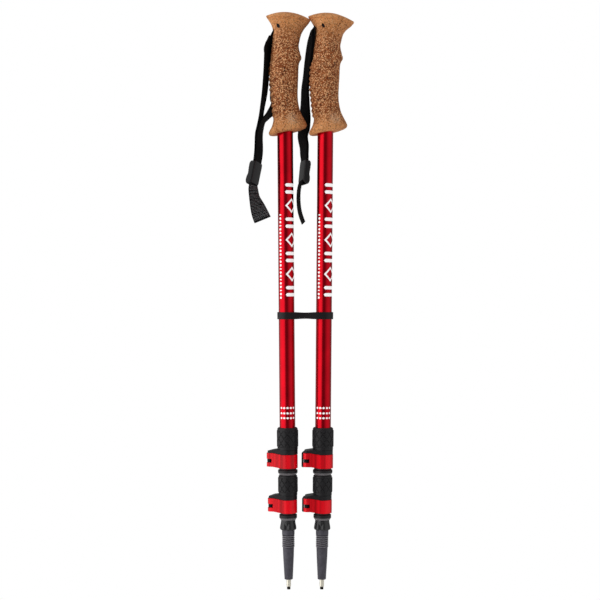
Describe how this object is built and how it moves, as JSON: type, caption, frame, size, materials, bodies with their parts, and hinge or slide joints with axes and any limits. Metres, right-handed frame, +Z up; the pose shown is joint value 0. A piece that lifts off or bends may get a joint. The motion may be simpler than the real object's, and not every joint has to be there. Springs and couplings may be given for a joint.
{
  "type": "trekking poles",
  "caption": "Pair of collapsed three-section trekking poles with cork grips, wrist straps, lever clamps and carbide tips, tied together.",
  "frame": {"origin": "the hold point: midway between the two upper tubes, just under the grips, where a hand carries the pair", "axes": "+Z up the poles towards the grips, +X towards the grips' front horns, +Y away from the viewer across the grips"},
  "size_m": [0.1221, 0.0424, 0.6599],
  "materials": {
    "cork": "satin",
    "red_anodised": "gloss",
    "dark_anodised": "satin",
    "lever_red": "gloss",
    "black_plastic": "matte",
    "grey_plastic": "satin",
    "webbing": "matte",
    "steel": "satin",
    "carbide": "satin",
    "rubber": "matte",
    "white_ink": "satin"
  },
  "bodies": {
    "upper_sections": {"left_grip": "cork", "left_strap_pin": "steel", "left_strap_anchor": "webbing", "left_upper_tube": "red_anodised", "left_tube_plug": "black_plastic", "left_upper_clamp": "black_plastic", "left_upper_clamp_bolt": "steel", "left_upper_pressure_plate": "steel", "right_grip": "cork", "right_strap_pin": "steel", "right_strap_anchor": "webbing", "right_upper_tube": "red_anodised", "right_tube_plug": "black_plastic", "right_upper_clamp": "black_plastic", "right_upper_clamp_bolt": "steel", "right_upper_pressure_plate": "steel", "tie_band": "rubber"},
    "left_strap": {"left_strap_loop": "webbing", "left_strap_tail": "webbing", "left_strap_buckle": "black_plastic"},
    "left_upper_lever": {"left_upper_lever": "lever_red", "left_upper_lever_pin": "steel"},
    "left_upper_nut": {"left_upper_clamp_nut": "steel"},
    "left_middle_section": {"left_middle_tube": "dark_anodised", "left_middle_bushing": "black_plastic", "left_lower_clamp": "black_plastic", "left_lower_clamp_bolt": "steel", "left_lower_pressure_plate": "steel"},
    "left_lower_lever": {"left_lower_lever": "lever_red", "left_lower_lever_pin": "steel"},
    "left_lower_nut": {"left_lower_clamp_nut": "steel"},
    "left_lower_section": {"left_lower_tube": "dark_anodised", "left_lower_bushing": "black_plastic", "left_tip_ferrule": "grey_plastic", "left_basket_collar": "black_plastic", "left_tip_holder": "steel", "left_carbide_tip": "carbide"},
    "right_strap": {"right_strap_loop": "webbing", "right_strap_tail": "webbing", "right_strap_buckle": "black_plastic"},
    "right_upper_lever": {"right_upper_lever": "lever_red", "right_upper_lever_pin": "steel"},
    "right_upper_nut": {"right_upper_clamp_nut": "steel"},
    "right_middle_section": {"right_middle_tube": "dark_anodised", "right_middle_bushing": "black_plastic", "right_lower_clamp": "black_plastic", "right_lower_clamp_bolt": "steel", "right_lower_pressure_plate": "steel"},
    "right_lower_lever": {"right_lower_lever": "lever_red", "right_lower_lever_pin": "steel"},
    "right_lower_nut": {"right_lower_clamp_nut": "steel"},
    "right_lower_section": {"right_lower_tube": "dark_anodised", "right_lower_bushing": "black_plastic", "right_tip_ferrule": "grey_plastic", "right_basket_collar": "black_plastic", "right_tip_holder": "steel", "right_carbide_tip": "carbide"}
  },
  "joints": [
    {"name": "left_middle_slide", "type": "slide", "parent": "upper_sections", "child": "left_middle_section", "axis": [0.008, 0, -1], "range_m": [0, 0.345]},
    {"name": "left_lower_slide", "type": "slide", "parent": "left_middle_section", "child": "left_lower_section", "axis": [0.008, 0, -1], "range_m": [0, 0.345]},
    {"name": "left_upper_lever_hinge", "type": "hinge", "parent": "upper_sections", "child": "left_upper_lever", "pos_m": [-0.03976, -0.00151, -0.37036], "axis": [0.008, 0, -1], "range_deg": [0, 120]},
    {"name": "left_upper_nut_turn", "type": "hinge", "parent": "upper_sections", "child": "left_upper_nut", "pos_m": [-0.03227, 0.0153, -0.3703], "axis": [0.4067, 0.9135, 0.0033], "continuous": true},
    {"name": "left_lower_lever_hinge", "type": "hinge", "parent": "left_middle_section", "child": "left_lower_lever", "pos_m": [-0.03843, -0.00192, -0.4218], "axis": [0.008, 0, -1], "range_deg": [0, 120]},
    {"name": "left_lower_nut_turn", "type": "hinge", "parent": "left_middle_section", "child": "left_lower_nut", "pos_m": [-0.03095, 0.01489, -0.42174], "axis": [0.4067, 0.9135, 0.0033], "continuous": true},
    {"name": "left_strap_swing", "type": "hinge", "parent": "upper_sections", "child": "left_strap", "pos_m": [-0.03886, 0, 0.11606], "axis": [0, 1, 0], "range_deg": [0, 90]},
    {"name": "right_middle_slide", "type": "slide", "parent": "upper_sections", "child": "right_middle_section", "axis": [-0.008, 0, -1], "range_m": [0, 0.345]},
    {"name": "right_lower_slide", "type": "slide", "parent": "right_middle_section", "child": "right_lower_section", "axis": [-0.008, 0, -1], "range_m": [0, 0.345]},
    {"name": "right_upper_lever_hinge", "type": "hinge", "parent": "upper_sections", "child": "right_upper_lever", "pos_m": [0.00175, -0.00753, -0.37006], "axis": [-0.008, 0, -1], "range_deg": [0, 120]},
    {"name": "right_upper_nut_turn", "type": "hinge", "parent": "upper_sections", "child": "right_upper_nut", "pos_m": [0.00368, 0.01077, -0.37007], "axis": [0.1045, 0.9945, -0.0008], "continuous": true},
    {"name": "right_lower_lever_hinge", "type": "hinge", "parent": "right_middle_section", "child": "right_lower_lever", "pos_m": [0.00233, -0.00763, -0.42151], "axis": [-0.008, 0, -1], "range_deg": [0, 120]},
    {"name": "right_lower_nut_turn", "type": "hinge", "parent": "right_middle_section", "child": "right_lower_nut", "pos_m": [0.00426, 0.01066, -0.42153], "axis": [0.1045, 0.9945, -0.0008], "continuous": true},
    {"name": "right_strap_swing", "type": "hinge", "parent": "upper_sections", "child": "right_strap", "pos_m": [0.00841, 0, 0.12311], "axis": [1, 0, -0.008], "range_deg": [0, 30]}
  ]
}
